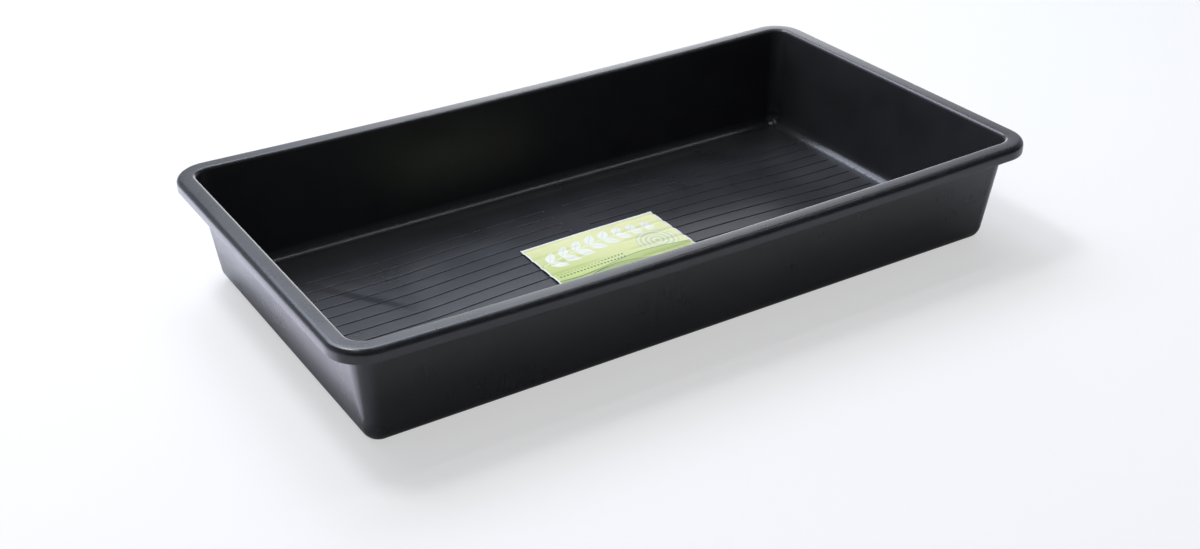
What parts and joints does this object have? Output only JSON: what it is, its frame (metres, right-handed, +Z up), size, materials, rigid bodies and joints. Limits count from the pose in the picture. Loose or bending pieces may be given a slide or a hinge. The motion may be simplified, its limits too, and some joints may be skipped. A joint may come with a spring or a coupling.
{
  "type": "garden tray",
  "caption": "Large shallow rectangular garden tray with leaning walls, a flat turned-down rim, a grooved gently crowned floor and a loose printed label lying on it.",
  "frame": {"origin": "centre of the footprint on the ground, so the middle of the bounding box at its bottom", "axes": "+X along the tray's length, +Y across it towards the back, +Z up out of the tray's mouth"},
  "size_m": [1, 0.55, 0.15],
  "materials": {
    "black_plastic": "satin moulded black plastic with light scuffs",
    "printed_label": "semi-gloss printed paper"
  },
  "bodies": {
    "root": {"tray": "black_plastic", "label": "printed_label"}
  },
  "joints": []
}
